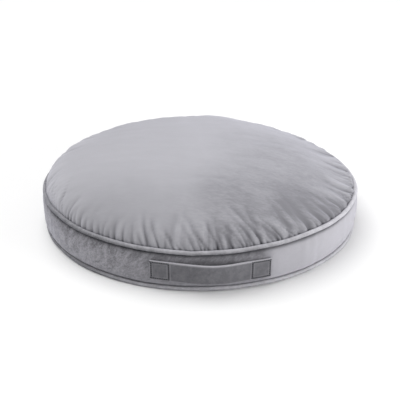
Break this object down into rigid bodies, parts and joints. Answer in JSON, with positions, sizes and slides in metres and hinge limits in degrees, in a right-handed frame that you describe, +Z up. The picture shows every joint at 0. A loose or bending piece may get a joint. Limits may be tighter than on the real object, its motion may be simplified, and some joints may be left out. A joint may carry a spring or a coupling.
{
  "type": "floor cushion",
  "caption": "Round floor cushion with a crowned top panel, piped seams, a side band with a strap handle, a rear zip and a padded inner.",
  "frame": {"origin": "on the cushion's axis, on the floor it rests on (z = 0)", "axes": "+Z up along the cushion's axis; -Y towards the strap handle; +Y towards the middle of the rear zip"},
  "size_m": [0.6, 0.6112, 0.1343],
  "materials": {
    "velvet": "light grey short-pile velvet with brushed shading",
    "filler_cord": "undyed twisted cotton",
    "liner": "plain undyed cotton",
    "foam": "open-cell polyurethane foam",
    "wadding": "loose polyester fibre",
    "webbing": "woven polyester webbing",
    "thread": "matching polyester thread",
    "zip_tape": "herringbone woven polyester tape",
    "zip_coil": "nylon coil",
    "zip_metal": "nickel-plated zinc"
  },
  "bodies": {
    "cushion": {"top_panel": "velvet", "bottom_panel": "velvet", "side_band": "velvet", "zip_band_upper": "velvet", "zip_band_lower": "velvet", "piping_top_sleeve": "velvet", "piping_bottom_sleeve": "velvet", "handle_end_left": "velvet", "handle_end_right": "velvet", "piping_top_cord": "filler_cord", "piping_bottom_cord": "filler_cord", "liner_top": "liner", "liner_band": "liner", "liner_bottom": "liner", "foam_core": "foam", "fibre_top": "wadding", "fibre_edge": "wadding", "fibre_bottom": "wadding", "handle_stitching_left": "thread", "handle_stitching_right": "thread", "zip_tape_upper": "zip_tape", "zip_tape_lower": "zip_tape", "zip_coil_upper": "zip_coil", "zip_coil_lower": "zip_coil", "zip_stop_closed": "zip_metal", "zip_stop_open": "zip_metal"},
    "handle": {"handle_strap": "velvet", "handle_core": "webbing"},
    "zip_slider": {"zip_slider": "zip_metal"},
    "zip_pull": {"zip_pull": "zip_metal"}
  },
  "joints": [
    {"name": "handle_pull", "type": "slide", "parent": "cushion", "child": "handle", "axis": [0, -1, 0], "range_m": [0, 0.014]},
    {"name": "zip_travel", "type": "hinge", "parent": "cushion", "child": "zip_slider", "pos_m": [0, 0, 0.0358], "axis": [0, 0, 1], "range_deg": [-99.88, 0]},
    {"name": "zip_pull_flip", "type": "hinge", "parent": "zip_slider", "child": "zip_pull", "pos_m": [-0.23151, 0.19467, 0.0358], "axis": [0, 0, 1], "range_deg": [0, 170]}
  ]
}
